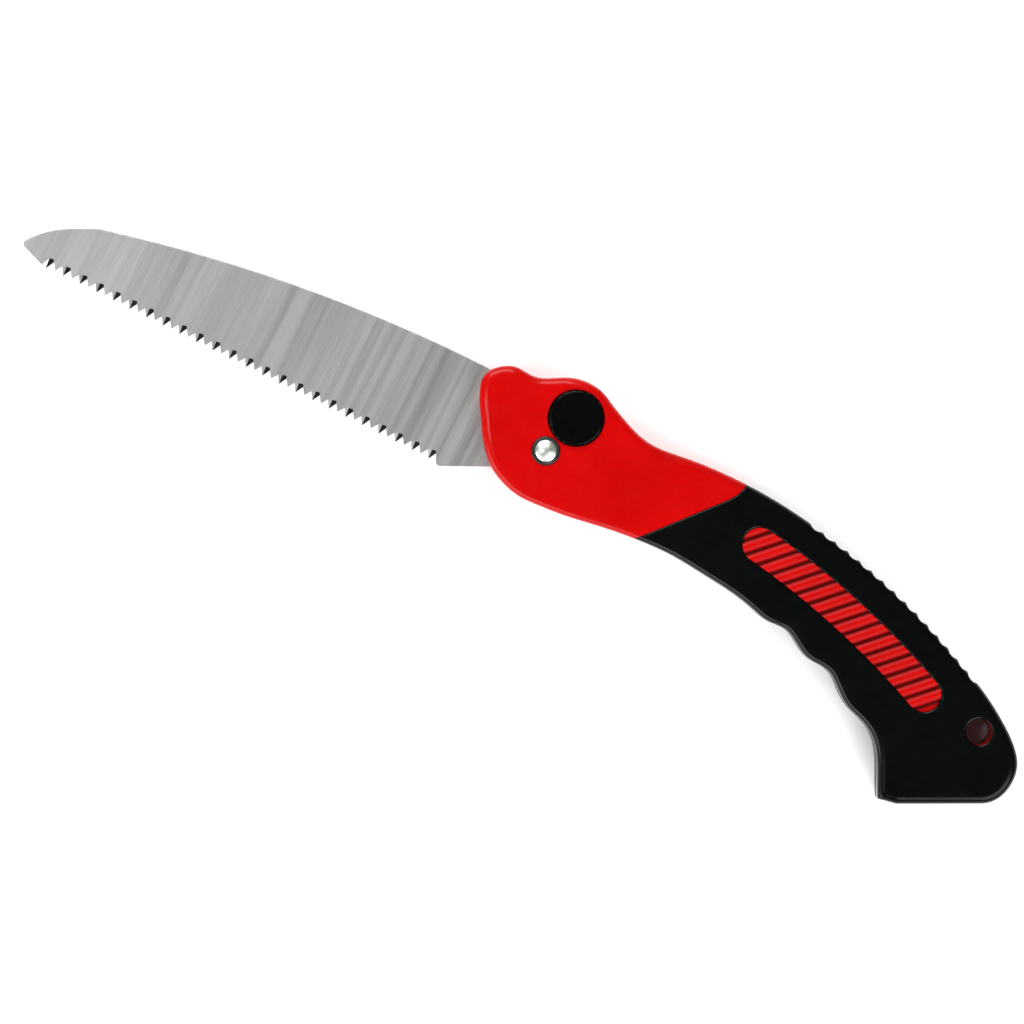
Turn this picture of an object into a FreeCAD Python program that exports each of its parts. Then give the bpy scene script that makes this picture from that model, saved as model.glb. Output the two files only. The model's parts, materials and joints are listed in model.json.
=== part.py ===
import FreeCAD, Part
import math
import os

import Sketcher

# Folding pruning saw with a locking blade, open, lying on its rear face.
#
# Everything is drawn from the pivot: X runs along the line of the teeth from the blade's
# tip (-X) to the butt of the handle (+X), Y towards the spine of the blade and the back of
# the handle, and Z from the face it lies on to the face with the lock button. Each finished
# piece is then moved by (shift_x, shift_y) so that the origin is the middle of the bottom of
# the whole saw's box. All lengths are millimetres and all angles degrees.

doc = FreeCAD.newDocument("folding_pruning_saw")

# ---------------------------------------------------------------- driving dimensions

DIMENSIONS = [
    ("shift_x", -0.65, "pivot to the middle of the saw's length"),
    ("shift_y", 14.92, "pivot to the middle of the saw's width"),
    # handle
    ("handle_thick", 22.0, "handle, face to face"),
    ("middle", 11.0, "height of the blade's middle plane"),
    ("edge_round", 3.0, "rounding of the handle's outer edges"),
    ("slot_wide", 2.6, "blade slot, side to side"),
    ("rubber_thick", 2.0, "rubber skin of the grip"),
    ("wall_inset", 4.0, "handle outline to the inside of the shell's wall"),
    ("shell_face", 3.6, "head face thickness over the hollow"),
    ("press_gap", 0.02, "round a part that is pressed in"),
    ("snug_gap", 0.05, "round a part that drops in"),
    ("rib_wall", 1.6, "stiffening ribs in the shells"),
    # blade and pivot
    ("fold_angle", 165.0, "turn of the blade from open to folded"),
    ("blade_thick", 1.3, "saw plate"),
    ("spine_radius", 608.0, "curve of the spine"),
    ("tooth_pitch", 3.389, "tooth to tooth"),
    ("tooth_count", 47, "teeth"),
    ("tooth_depth", 3.0, "tip to gullet"),
    ("tooth_line", -21.6, "height of the tooth tips"),
    ("tooth_less", 0.5, "every second tooth is shorter by this"),
    ("first_tooth", -193.0, "place of the tooth nearest the tip"),
    ("tang_radius", 13.8, "rim that slides past the lock stud"),
    ("shoulder_radius", 17.0, "shoulders each side of the rim"),
    ("eye_radius", 4.55, "hole in the blade"),
    ("sleeve_radius", 4.5, "pivot sleeve, outside"),
    ("sleeve_bottom", 7.5, "pivot sleeve, lower end"),
    ("sleeve_long", 7.0, "pivot sleeve"),
    ("shank_radius", 3.0, "pivot bolt's shank"),
    ("bolt_bore", 3.05, "bore for the pivot bolt"),
    ("bolt_end", 0.9, "lower end of the pivot bolt"),
    ("bolt_head_radius", 4.1, "domed head"),
    ("bolt_head_seat", 21.4, "underside of the domed head"),
    ("bolt_head_tall", 1.9, "domed head"),
    ("collar_radius", 5.25, "black ring round the bolt's head"),
    ("collar_seat", 20.6, "underside of the ring"),
    ("collar_top", 22.5, "top of the ring's lip"),
    ("thrust_radius", 9.0, "thrust washers"),
    ("thrust_thick", 0.55, "thrust washers"),
    ("pivot_boss", 10.0, "boss round the pivot, radius"),
    ("nut_seat", 5.2, "top of the pocket for the nut"),
    ("nut_pocket", 6.6, "pocket for the nut, radius"),
    ("nut_washer_radius", 6.2, "washer under the nut"),
    ("nut_washer_thick", 1.0, "washer under the nut"),
    ("nut_corner", 5.77, "nut, middle to corner"),
    ("nut_thick", 3.4, "nut"),
    # lock
    ("lock_x", 4.55, "lock axis from the pivot"),
    ("lock_y", 15.6, "lock axis from the pivot"),
    ("notch_radius", 4.6, "notches in the tang"),
    ("stud_radius", 4.5, "lock stud"),
    ("stud_top", 11.95, "top of the lock stud"),
    ("leaf_bottom", 7.0, "underside of the spring leaf"),
    ("leaf_thick", 0.8, "spring leaf"),
    ("leaf_wide", 7.0, "spring leaf"),
    ("anchor_x", 33.0, "screw that holds the leaf"),
    ("anchor_y", 3.5, "screw that holds the leaf"),
    ("anchor_boss", 4.2, "boss under the leaf, radius"),
    ("guide_boss", 7.6, "boss that guides the stud, radius"),
    ("channel_wide", 8.4, "way for the leaf through the guide boss"),
    ("channel_bottom", 3.6, "way for the leaf, floor"),
    ("channel_top", 8.4, "way for the leaf, roof"),
    ("cap_radius", 10.15, "button cap"),
    ("cap_bottom", 19.75, "underside of the cap at rest"),
    ("cap_tall", 3.5, "button cap"),
    ("cap_round", 1.0, "rounding of the cap's top edge"),
    ("cap_lobes", 22, "scallops round the cap"),
    ("lobe_radius", 0.9, "each scallop"),
    ("lobe_circle", 10.5, "centres of the scallops"),
    ("well_radius", 10.45, "well that the cap sinks into"),
    ("well_floor", 17.2, "floor of the well"),
    ("well_boss", 12.6, "boss round the well, radius"),
    ("clip_roof", 15.65, "underside of the well's floor"),
    ("clip_space", 5.4, "space for the clip, radius"),
    ("stem_radius", 3.5, "upper part of the button's stem"),
    ("stem_bore", 3.56, "bore for the stem"),
    ("pin_radius", 2.0, "lower part of the stem"),
    ("pin_bottom", 12.0, "lower end of the stem at rest"),
    ("clip_radius", 4.5, "push-on clip"),
    ("clip_thick", 0.6, "push-on clip"),
    # screws
    ("screw_radius", 1.5, "case screws and leaf screw, shank"),
    ("screw_bore", 1.52, "bores for them"),
    ("screw_boss", 3.2, "bosses, radius"),
    ("screw_head_radius", 2.9, "heads"),
    ("screw_head_tall", 2.0, "heads of the case screws"),
    ("leaf_head_tall", 1.5, "head of the leaf screw"),
    ("screw_seat", 3.4, "depth of the counterbores"),
    ("screw_sink", 3.1, "counterbores, radius"),
    ("screw_tip", 17.0, "upper end of the case screws"),
    ("leaf_screw_tip", 3.0, "lower end of the leaf screw"),
    ("pilot_extra", 0.5, "bores past the ends of the screws"),
    # grip
    ("ridge_radius", 3.9, "cutter for the scallops on the back of the grip"),
    ("ridge_bite", 1.0, "depth of those scallops"),
    ("ridge_count", 15, "scallops on the back of the grip"),
    ("inlay_wide", 12.6, "ribbed inlay"),
    ("inlay_base", 0.9, "inlay under its ribs"),
    ("rib_pitch", 4.85, "rib to rib, square to the ribs"),
    ("rib_radius", 2.5, "round top of a rib"),
    ("rib_angle", 45.0, "direction of the ribs"),
    ("rib_count", 17, "ribs across the inlay"),
    # lanyard hole
    ("lanyard_x", 186.5, "lanyard hole"),
    ("lanyard_y", -20.9, "lanyard hole"),
    ("lanyard_radius", 4.8, "lanyard hole, through the rubber and the red core"),
    ("lanyard_boss", 6.3, "wall round the lanyard hole, radius"),
]

sheet = doc.addObject("Spreadsheet::Sheet", "sizes")
for row, (alias, number, meaning) in enumerate(DIMENSIONS, start=1):
    sheet.set(f"A{row}", meaning)
    sheet.set(f"B{row}", str(number))
    sheet.setAlias(f"B{row}", alias)
doc.recompute()


def size(alias):
    """A driving dimension, read back from the sheet."""
    return float(sheet.get(alias))


# Screws that clamp the halves, all on the back side of the blade's sweep.
CASE_SCREWS = [(20.5, 16.8), (54.0, 15.2), (92.0, 14.2), (137.0, 3.7), (176.0, -12.0)]
# Stiffening ribs across the hollow, at these distances along X.
STIFFENERS = [72.0, 112.0, 156.0]
WALL_START = -70.0
WALL_LONG = 100.0
# Strips that make up the handle's rounded edge.
EDGE_STEPS = 6
# Rods that round the tops of the inlay's ribs.
ROD_LONG = 60.0
# Small bevels of the turned pieces, and the straight brim of the bolt's head.
BEVEL = 0.3
BRIM = 0.5
# Screws: depth of the drive, which is as wide each way, rounding of the head, and point.
DRIVE = 0.8
HEAD_ROUND = 0.9
SCREW_POINT = 1.5
# How near two heights have to be to count as one.
FLAT = 1e-4

# ---------------------------------------------------------------- outlines

# Finger side of the handle: down the front edge of the head, along the belly, over the
# three finger swells and down to the heel of the butt.
FRONT_MIDDLE = (-24.6, -3.0)
FINGER_SIDE = [
    FRONT_MIDDLE, (-20.2, -9.3), (-15.2, -14.0), (-9.0, -17.2), (-2.0, -19.0), (6.0, -18.9),
    (16.0, -18.0), (30.0, -15.7), (45.0, -13.9), (58.0, -13.4), (72.0, -14.5), (86.0, -16.1),
    (93.0, -17.7), (100.0, -19.2), (107.0, -19.0), (112.5, -21.5), (119.0, -24.7),
    (127.5, -25.5), (133.5, -29.6), (140.0, -34.1), (147.0, -36.4), (153.0, -40.0),
    (157.5, -45.8), (163.2, -56.8),
]
BUTT_FLAT = [(164.4, -59.1), (171.4, -57.7), (199.0, -43.8)]
# Round the butt, along the back, over the lobe for the button and round the nose of the head.
BACK_SIDE = [
    (199.0, -43.8), (203.4, -39.8), (205.6, -33.0), (204.6, -25.6), (200.0, -19.4),
    (192.0, -13.2), (182.0, -7.2), (172.0, -2.6), (157.0, 3.9), (140.0, 10.0), (120.0, 15.4),
    (100.0, 19.2), (84.0, 21.2), (70.0, 21.8), (56.0, 21.4), (46.0, 20.4), (38.0, 19.4),
    (30.0, 19.8), (22.0, 22.4), (14.0, 26.0), (9.0, 28.4), (4.0, 29.2), (-1.5, 28.6),
    (-8.0, 25.8), (-14.0, 22.8), (-18.5, 22.4), (-23.0, 22.6), (-27.5, 20.8), (-31.0, 17.6),
    (-32.4, 14.4), (-31.4, 9.0), (-28.6, 3.4), FRONT_MIDDLE,
]
FRONT_SLOPE = (0.58, -0.82)

# Where the red head meets the black grip, from the belly to the back.
GRIP_EDGE = [(30.0, -29.3), (67.2, 13.8), (69.6, 17.6), (69.6, 30.0)]
GRIP_EDGE_END = [(230.0, 30.0), (230.0, -90.0), (30.0, -90.0)]

# Middle line of the ribbed inlay: one flat arc.
INLAY_LINE = [(84.9, 4.2), (123.5, -4.0), (162.4, -17.7)]

# Blade: lower corner beside the head, last tooth at the far end, and the point.
BLADE_HEEL = (-32.4, -22.2)
BLADE_LAST = -194.6
BLADE_POINT = (-204.6, -17.0)

# Slot for the blade: its front and lower ends, both outside the handle, its top, and where
# its round stretch about the pivot starts, has its middle and ends.
SLOT_FRONT = -45.0
SLOT_BELOW = -75.0
SLOT_TOP = 18.5
SLOT_ROUND = (80.0, 53.0, 27.0)

# Crests on the back of the grip lie along one arc.
RIDGE_LINE = [(100.6, 19.1), (140.0, 10.0), (175.6, -4.2)]


def vectors(points, height=0.0):
    return [FreeCAD.Vector(x, y, height) for x, y in points]


def spline(points, start=None, end=None):
    """A smooth curve through the points, with the end directions given where they matter."""
    curve = Part.BSplineCurve()
    directions = {}
    if start:
        directions["InitialTangent"] = FreeCAD.Vector(*start, 0)
    if end:
        directions["FinalTangent"] = FreeCAD.Vector(*end, 0)
    curve.interpolate(Points=vectors(points), **directions)
    return curve


def arc(first, middle, last):
    return Part.ArcOfCircle(*vectors([first, middle, last]))


def chain(points):
    """Straight edges from point to point."""
    places = vectors(points)
    return [Part.LineSegment(a, b) for a, b in zip(places, places[1:])]


def polar(radius, angle, centre=(0.0, 0.0)):
    turn = math.radians(angle)
    return centre[0] + radius * math.cos(turn), centre[1] + radius * math.sin(turn)


def turned(point, angle):
    """The point after the blade has turned by the angle about the pivot."""
    radius = math.hypot(*point)
    return polar(radius, math.degrees(math.atan2(point[1], point[0])) + angle)


def inset(points, distance):
    """The same stretch of outline, moved to its left, into the handle, by the distance."""
    moved = []
    for k, (x, y) in enumerate(points):
        before = points[max(k - 1, 0)]
        after = points[min(k + 1, len(points) - 1)]
        run = math.hypot(after[0] - before[0], after[1] - before[1])
        moved.append((x - distance * (after[1] - before[1]) / run,
                      y + distance * (after[0] - before[0]) / run))
    return moved


def crossing(a, b, c, d):
    """Where the line through a and b meets the line through c and d."""
    run = (b[0] - a[0], b[1] - a[1])
    other = (d[0] - c[0], d[1] - c[1])
    share = (((c[0] - a[0]) * other[1] - (c[1] - a[1]) * other[0])
             / (run[0] * other[1] - run[1] * other[0]))
    return a[0] + share * run[0], a[1] + share * run[1]


def handle_curves(distance=0.0):
    """Closed outline of the whole handle, or the outline moved inwards by a distance."""
    finger = inset(FINGER_SIDE, distance)
    back = inset(BACK_SIDE, distance)
    flat = inset(BUTT_FLAT, distance)
    finger[0] = back[-1]
    finger[-1] = crossing(finger[-2], finger[-1], flat[0], flat[1])
    return ([spline(finger, start=FRONT_SLOPE)] + chain([finger[-1], flat[1], back[0]])
            + [spline(back, end=FRONT_SLOPE)])


# ---------------------------------------------------------------- building blocks

def bind(item, formulas):
    for name, formula in formulas.items():
        item.setExpression(name, formula)


def sketched(name, curves, level="0"):
    """A loose sketch, parallel to the table, at a height."""
    sketch = doc.addObject("Sketcher::SketchObject", name)
    sketch.addGeometry(curves, False)
    bind(sketch, {"Placement.Base.z": level})
    return sketch


def extruded(name, curves, level, tall):
    solid = doc.addObject("Part::Extrusion", name)
    solid.Base = sketched(name + "_outline", curves, level)
    solid.DirMode = "Custom"
    solid.Dir = FreeCAD.Vector(0, 0, 1)
    solid.Solid = True
    bind(solid, {"LengthFwd": tall})
    return solid


def cylinder(name, radius, level, tall, x="0", y="0"):
    solid = doc.addObject("Part::Cylinder", name)
    bind(solid, {"Radius": radius, "Height": tall, "Placement.Base.x": x,
                 "Placement.Base.y": y, "Placement.Base.z": level})
    return solid


def cylinders(name, centres, radius, level, tall):
    """One cylinder at each centre."""
    return [cylinder(f"{name}_{k}", radius, level, tall, str(x), str(y))
            for k, (x, y) in enumerate(centres)]


def fused(name, solids):
    joined = doc.addObject("Part::MultiFuse", name)
    joined.Shapes = solids
    return joined


def cut(name, base, tools):
    """The base with every tool taken away."""
    result = doc.addObject("Part::Cut", name)
    result.Base = base
    result.Tool = fused(name + "_tools", tools) if len(tools) > 1 else tools[0]
    return result


def common(name, first, second):
    result = doc.addObject("Part::Common", name)
    result.Base = first
    result.Tool = second
    return result


def mirrored(name, source):
    """The same solid on the other side of the blade's middle plane."""
    copy = doc.addObject("Part::Mirroring", name)
    copy.Source = source
    copy.Normal = FreeCAD.Vector(0, 0, 1)
    bind(copy, {"Base.z": "sizes.middle"})
    return copy


PIECES = []


def finish(item, label):
    """Names the finished piece and moves it from the pivot's frame to the saw's."""
    item.Label = label
    bind(item, {"Placement.Base.x": "sizes.shift_x", "Placement.Base.y": "sizes.shift_y"})
    PIECES.append(item)
    return item


def origin_plane(body, role):
    return next(plane for plane in body.Origin.OriginFeatures if plane.Role == role)


def body_sketch(body, name, role, curves):
    sketch = body.newObject("Sketcher::SketchObject", name)
    sketch.AttachmentSupport = (origin_plane(body, role), [""])
    sketch.MapMode = "FlatFace"
    sketch.addGeometry(curves, False)
    return sketch


def circle(radius, x=0.0, y=0.0):
    return Part.Circle(FreeCAD.Vector(x, y, 0), FreeCAD.Vector(0, 0, 1), radius)


def ring(label, outer, inner, level, tall, x="0", y="0"):
    """A flat washer-like piece: two circles bound to the sheet, padded upwards."""
    body = doc.addObject("PartDesign::Body", label + "_body")
    sketch = body_sketch(body, label + "_circles", "XY_Plane",
                         [circle(size(outer)), circle(size(inner))])
    for k, alias in enumerate([outer, inner]):
        sketch.addConstraint(Sketcher.Constraint("Coincident", k, 3, -1, 1))
        number = sketch.addConstraint(Sketcher.Constraint("Radius", k, size(alias)))
        bind(sketch, {f"Constraints[{number}]": f"sizes.{alias}"})
    pad = body.newObject("PartDesign::Pad", label + "_pad")
    pad.Profile = sketch
    bind(pad, {"Length": tall})
    body.Tip = pad
    finish(body, label)
    bind(body, {"Placement.Base.x": f"sizes.shift_x + {x}",
                "Placement.Base.y": f"sizes.shift_y + {y}", "Placement.Base.z": level})
    return body


def revolved(label, curves, x="0", y="0"):
    """A turned piece: half its section, in radius and height, spun about its upright axis."""
    body = doc.addObject("PartDesign::Body", label + "_body")
    sketch = body_sketch(body, label + "_section", "XZ_Plane", curves)
    spin = body.newObject("PartDesign::Revolution", label + "_spin")
    spin.Profile = sketch
    spin.ReferenceAxis = (sketch, ["V_Axis"])
    spin.Angle = 360
    body.Tip = spin
    finish(body, label)
    bind(body, {"Placement.Base.x": f"sizes.shift_x + {x}",
                "Placement.Base.y": f"sizes.shift_y + {y}"})
    return body


def edges_at(solid, level):
    """Numbers of the edges that lie at one height."""
    return [k for k, edge in enumerate(solid.Shape.Edges, start=1)
            if abs(edge.BoundBox.ZMin - level) < FLAT and abs(edge.BoundBox.ZMax - level) < FLAT]

# ---------------------------------------------------------------- blocks of the handle

half = "(sizes.handle_thick - sizes.middle)"
front_square = extruded("front_square", handle_curves(), "sizes.middle",
                        half + " - sizes.edge_round")
# The rounded edge is built as ruled strips through points of a quarter circle.
edge_sections = []
for k in range(EDGE_STEPS + 1):
    lean = math.radians(90.0 * k / EDGE_STEPS)
    drawn_in = 1 - math.cos(lean)
    edge_sections.append(sketched(
        f"edge_section_{k}", handle_curves(size("edge_round") * drawn_in),
        f"sizes.handle_thick - sizes.edge_round * {1 - math.sin(lean)}"))
front_edge = doc.addObject("Part::Loft", "front_edge")
front_edge.Sections = edge_sections
front_edge.Solid = True
front_edge.Ruled = True
front_block = fused("front_block", [front_square, front_edge])
rear_block = mirrored("rear_block", front_block)

grip_slope = (GRIP_EDGE[1][0] - GRIP_EDGE[0][0], GRIP_EDGE[1][1] - GRIP_EDGE[0][1])
grip_curves = ([spline(GRIP_EDGE[1:], start=grip_slope)]
               + chain([GRIP_EDGE[-1]] + GRIP_EDGE_END + GRIP_EDGE[:2]))
grip_side = extruded("grip_side", grip_curves, "0", "sizes.handle_thick")

core_front = extruded("core_front", handle_curves(size("rubber_thick")), "sizes.middle",
                      half + " - sizes.rubber_thick")
core_rear = mirrored("core_rear", core_front)

hollow_outline = extruded("hollow_outline", handle_curves(size("wall_inset")), "sizes.middle",
                          half + " - sizes.shell_face")

# The blade sweeps this region of the slot between open and folded. Folded, it stays clear of
# the slot's end above the teeth, and nearly as clear beside its corners.
folded = size("fold_angle")
above = 0.9
beside = 0.5
corner = turned(BLADE_HEEL, folded)
last_tooth = turned((BLADE_LAST, size("tooth_line")), folded)
tip = turned(BLADE_POINT, folded)
round_start, round_middle, round_end = [polar(size("shoulder_radius") + above, angle)
                                        for angle in SLOT_ROUND]
slot_front = (SLOT_FRONT, SLOT_TOP)
slot_curves = (
    chain([slot_front, (round_start[0], SLOT_TOP), round_start])
    + [arc(round_start, round_middle, round_end)]
    + chain([round_end, (corner[0] - beside, corner[1] + above),
             (corner[0] + 2 * beside, corner[1] + beside),
             (last_tooth[0] + beside, last_tooth[1] + above),
             (tip[0] + above, tip[1] + beside), (tip[0], SLOT_BELOW),
             (SLOT_FRONT, SLOT_BELOW), slot_front]))
slot = extruded("slot", slot_curves, "sizes.middle - sizes.slot_wide / 2", "sizes.slot_wide")

lanyard_bore = cylinder("lanyard_bore", "sizes.lanyard_radius", "0", "sizes.handle_thick",
                        "sizes.lanyard_x", "sizes.lanyard_y")
bolt_bore = cylinder("bolt_bore", "sizes.bolt_bore", "0", "sizes.handle_thick")
sleeve_seat = cylinder("sleeve_seat", "sizes.sleeve_radius + sizes.press_gap",
                       "sizes.sleeve_bottom", "sizes.sleeve_long")


def stiffeners(name):
    """Thin walls across the hollow."""
    walls = []
    for k, x in enumerate(STIFFENERS):
        wall = doc.addObject("Part::Box", f"{name}_{k}")
        wall.Width = WALL_LONG
        bind(wall, {"Length": "sizes.rib_wall", "Height": "sizes.handle_thick",
                    "Placement.Base.x": str(x)})
        wall.Placement.Base.y = WALL_START
        walls.append(wall)
    return walls


def bosses(name):
    """What both halves keep inside the hollow: round the pivot, the screws and the hole."""
    return ([cylinder(name + "_pivot", "sizes.pivot_boss", "0", "sizes.handle_thick"),
             cylinder(name + "_lanyard", "sizes.lanyard_boss", "0", "sizes.handle_thick",
                      "sizes.lanyard_x", "sizes.lanyard_y")]
            + cylinders(name + "_screw", CASE_SCREWS, "sizes.screw_boss", "0",
                        "sizes.handle_thick")
            + stiffeners(name + "_wall"))


# ---------------------------------------------------------------- front shell

def at_lock(name, radius, level, tall):
    return cylinder(name, radius, level, tall, "sizes.lock_x", "sizes.lock_y")


well_boss = at_lock("well_boss", "sizes.well_boss", "0", "sizes.handle_thick")
front_hollow = cut("front_hollow", hollow_outline, bosses("front_boss") + [well_boss])
front_head = cut("front_head", front_block, [grip_side])
front_blank = fused("front_blank", [front_head, core_front])
screw_pilots = cylinders("screw_pilot", CASE_SCREWS, "sizes.screw_bore", "0",
                         "sizes.screw_tip + sizes.pilot_extra")
front_shell = cut("front_shell_cut", front_blank, [
    front_hollow, slot, lanyard_bore, bolt_bore, sleeve_seat,
    cylinder("collar_sink", "sizes.collar_radius + sizes.snug_gap", "sizes.collar_seat",
             "sizes.handle_thick"),
    at_lock("well", "sizes.well_radius", "sizes.well_floor", "sizes.handle_thick"),
    at_lock("stem_hole", "sizes.stem_bore", "sizes.middle", "sizes.handle_thick"),
    at_lock("clip_room", "sizes.clip_space", "sizes.middle", "sizes.clip_roof - sizes.middle"),
] + screw_pilots)
finish(front_shell, "front_shell")

# ---------------------------------------------------------------- rear shell

leaf_run = math.hypot(size("anchor_x") - size("lock_x"), size("anchor_y") - size("lock_y"))
leaf_turn = math.degrees(math.atan2(size("anchor_y") - size("lock_y"),
                                    size("anchor_x") - size("lock_x")))


def leaf_strip(name, wide, long, level, tall):
    """A straight strip that starts on the lock axis and points at the leaf's screw."""
    strip = doc.addObject("Part::Box", name)
    bind(strip, {"Length": long, "Width": wide, "Height": tall})
    across = math.radians(leaf_turn + 90)
    strip.Placement = FreeCAD.Placement(
        FreeCAD.Vector(0, 0, 0), FreeCAD.Rotation(FreeCAD.Vector(0, 0, 1), leaf_turn))
    bind(strip, {
        "Placement.Base.x": f"sizes.lock_x - {wide} / 2 * {math.cos(across)}",
        "Placement.Base.y": f"sizes.lock_y - {wide} / 2 * {math.sin(across)}",
        "Placement.Base.z": level})
    return strip


guide = cut("guide", at_lock("guide_outside", "sizes.guide_boss", "0", "sizes.middle"), [
    at_lock("guide_bore", "sizes.notch_radius", "sizes.shell_face", "sizes.middle"),
    leaf_strip("leaf_channel", "sizes.channel_wide", "2 * sizes.guide_boss",
               "sizes.channel_bottom", "sizes.channel_top - sizes.channel_bottom")])
anchor_boss = cylinder("anchor_boss", "sizes.anchor_boss", "0", "sizes.leaf_bottom",
                       "sizes.anchor_x", "sizes.anchor_y")
rear_hollow = cut("rear_hollow", mirrored("rear_hollow_outline", hollow_outline),
                  bosses("rear_boss") + [guide, anchor_boss])
rear_head = cut("rear_head", rear_block, [grip_side])
rear_blank = fused("rear_blank", [rear_head, core_rear])
screw_ways = cylinders("screw_way", CASE_SCREWS, "sizes.screw_bore", "0", "sizes.middle")
screw_sinks = cylinders("screw_sink", CASE_SCREWS, "sizes.screw_sink", "0", "sizes.screw_seat")
anchor_bore = cylinder("anchor_bore", "sizes.screw_bore",
                       "sizes.leaf_screw_tip - sizes.pilot_extra", "sizes.leaf_bottom",
                       "sizes.anchor_x", "sizes.anchor_y")
rear_shell = cut("rear_shell_cut", rear_blank, [
    rear_hollow, slot, lanyard_bore, bolt_bore, sleeve_seat, anchor_bore,
    cylinder("nut_sink", "sizes.nut_pocket", "0", "sizes.nut_seat"),
] + screw_ways + screw_sinks)
finish(rear_shell, "rear_shell")

# ---------------------------------------------------------------- ribbed inlays

inlay_arc = arc(*INLAY_LINE)


def inlay_curves(grow):
    """Stadium along the inlay's middle line, or a little larger for its window."""
    reach = size("inlay_wide") / 2 + grow
    centre = (inlay_arc.Center.x, inlay_arc.Center.y)
    ends = [math.degrees(math.atan2(y - centre[1], x - centre[0])) for x, y in INLAY_LINE]
    outer = [polar(inlay_arc.Radius + reach, angle, centre) for angle in ends]
    inner = [polar(inlay_arc.Radius - reach, angle, centre) for angle in ends]
    nose = polar(reach, ends[0] + 90, INLAY_LINE[0])
    tail = polar(reach, ends[2] - 90, INLAY_LINE[2])
    return [arc(*outer), arc(outer[2], tail, inner[2]), arc(*reversed(inner)),
            arc(inner[0], nose, outer[0])]


inlay_level = "sizes.handle_thick - sizes.rubber_thick"
inlay_plate = extruded("inlay_plate", inlay_curves(0.0), inlay_level, "sizes.inlay_base")
inlay_tall = extruded("inlay_tall", inlay_curves(0.0), inlay_level, "sizes.rubber_thick")
rib_rods = []
lying = FreeCAD.Rotation(FreeCAD.Vector(1, 0, 0), -90)
along_ribs = FreeCAD.Rotation(FreeCAD.Vector(0, 0, 1), size("rib_angle") - 90)
for k in range(int(size("rib_count"))):
    across = k - (size("rib_count") - 1) / 2
    start = polar(-ROD_LONG / 2, size("rib_angle"), INLAY_LINE[1])
    start = polar(across * size("rib_pitch"), size("rib_angle") - 90, start)
    rod = cylinder(f"rib_rod_{k}", "sizes.rib_radius", "sizes.handle_thick - sizes.rib_radius",
                   str(ROD_LONG), str(start[0]), str(start[1]))
    rod.Placement.Rotation = along_ribs.multiply(lying)
    rib_rods.append(rod)
inlay_ribs = common("inlay_ribs", inlay_tall, fused("rib_row", rib_rods))
front_inlay = fused("front_inlay", [inlay_plate, inlay_ribs])
finish(front_inlay, "front_rib_inlay")
rear_inlay = mirrored("rear_inlay", front_inlay)
PIECES.append(rear_inlay)
rear_inlay.Label = "rear_rib_inlay"

# ---------------------------------------------------------------- rubber grips

window = extruded("window", inlay_curves(size("snug_gap")), inlay_level, "sizes.rubber_thick")
lanyard_rim = cylinder("lanyard_rim", "sizes.lanyard_radius", "0", "sizes.handle_thick",
                       "sizes.lanyard_x", "sizes.lanyard_y")


def ridge_cutters():
    """Upright rods that bite the row of scallops out of the back of the grip."""
    line = arc(*RIDGE_LINE)
    outside = size("ridge_radius") - size("ridge_bite")
    centre = (line.Center.x, line.Center.y)
    ends = [math.degrees(math.atan2(y - centre[1], x - centre[0])) for x, y in RIDGE_LINE]
    gap = (ends[2] - ends[0]) / (size("ridge_count") - 1)
    centres = [polar(line.Radius + outside, ends[0] + k * gap, centre)
               for k in range(int(size("ridge_count")))]
    return cylinders("ridge_cutter", centres, "sizes.ridge_radius", "0", "sizes.handle_thick")


ridge = ridge_cutters()
front_grip = cut("front_grip_cut", common("front_grip_blank", front_block, grip_side),
                 [core_front, window, slot, lanyard_rim] + ridge)
finish(front_grip, "front_grip")
grip_screws = cylinders("grip_screw", CASE_SCREWS[2:], "sizes.screw_sink", "0",
                        "sizes.screw_seat")
rear_grip = cut("rear_grip_cut", common("rear_grip_blank", rear_block, grip_side),
                [core_rear, mirrored("rear_window", window), slot, lanyard_rim] + ridge
                + grip_screws)
finish(rear_grip, "rear_grip")

# ---------------------------------------------------------------- blade

TIP_TOP = [(-199.5, -10.4), (-192.0, -5.1)]
TIP_NOSE = [(-204.1, -15.8), (-204.5, -17.2), (-203.4, -18.4)]
FIRST_TIP = (-193.2, -22.1)
TIP_CORNER = (-194.9, -21.45)
SPINE_CROWN = (-35.0, 17.8)
SPINE_START = -182.0
SPINE_END = -31.0
SHOULDER_TOP = 16.9
RICASSO_ROUND = [(-34.0, -21.5), (-33.0, -22.2), (-31.8, -21.95)]
RICASSO_END = (-12.0, -12.25)


def spine_point(x):
    """Height of the spine's arc at a place along the blade."""
    crown_x, crown_y = SPINE_CROWN
    drop = size("spine_radius") - math.sqrt(size("spine_radius") ** 2 - (x - crown_x) ** 2)
    return x, crown_y - drop


def tooth_points():
    """Tip, gullet, tip and so on, from the blade's tip towards the handle."""
    points = [FIRST_TIP]
    pitch = size("tooth_pitch")
    gullet = size("tooth_line") + size("tooth_depth")
    for k in range(1, int(size("tooth_count"))):
        x = size("first_tooth") + k * pitch
        points.append((x - pitch / 2, gullet))
        points.append((x, size("tooth_line") + size("tooth_less") * (k % 2)))
    points.append((x + pitch / 2, gullet))
    return points


def meeting_angle(rim):
    """Turn from a notch's axis to where the notch meets a rim of the tang."""
    reach = math.hypot(size("lock_x"), size("lock_y"))
    notch = size("notch_radius")
    return math.degrees(math.acos((reach ** 2 + rim ** 2 - notch ** 2) / (2 * reach * rim)))


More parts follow.
